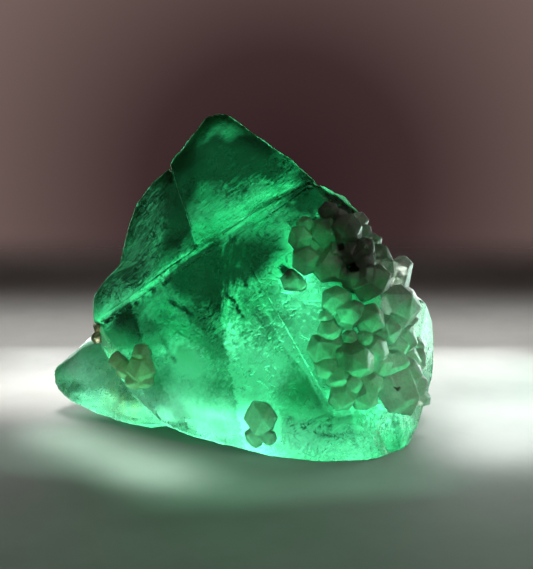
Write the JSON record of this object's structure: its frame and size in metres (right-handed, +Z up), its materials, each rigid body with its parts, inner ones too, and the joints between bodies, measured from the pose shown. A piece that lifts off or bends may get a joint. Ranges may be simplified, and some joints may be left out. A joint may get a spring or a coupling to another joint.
{
  "type": "quartz on fluorite mineral specimen",
  "caption": "Cleaved green fluorite piece with stubby grey-green and smoky quartz crystals grown on its faces, resting on a flat foot",
  "frame": {"origin": "centre of the bounding box's bottom, on the surface the specimen rests on", "axes": "+X to the right of the show face, +Y to the far side, +Z up; the show face looks along -Y"},
  "size_m": [0.0637, 0.0396, 0.0502],
  "materials": {
    "fluorite": "cleaved, translucent green, partly frosted",
    "quartz": "frosted grey-green",
    "smoky_quartz": "frosted smoky brown"
  },
  "bodies": {
    "root": {"fluorite": "fluorite", "quartz_upper": "smoky_quartz", "quartz_lower": "quartz", "quartz_single": "quartz", "quartz_bottom": "quartz", "quartz_left": "quartz", "quartz_edge": "smoky_quartz", "quartz_back": "smoky_quartz", "quartz_rear": "quartz"}
  },
  "joints": []
}
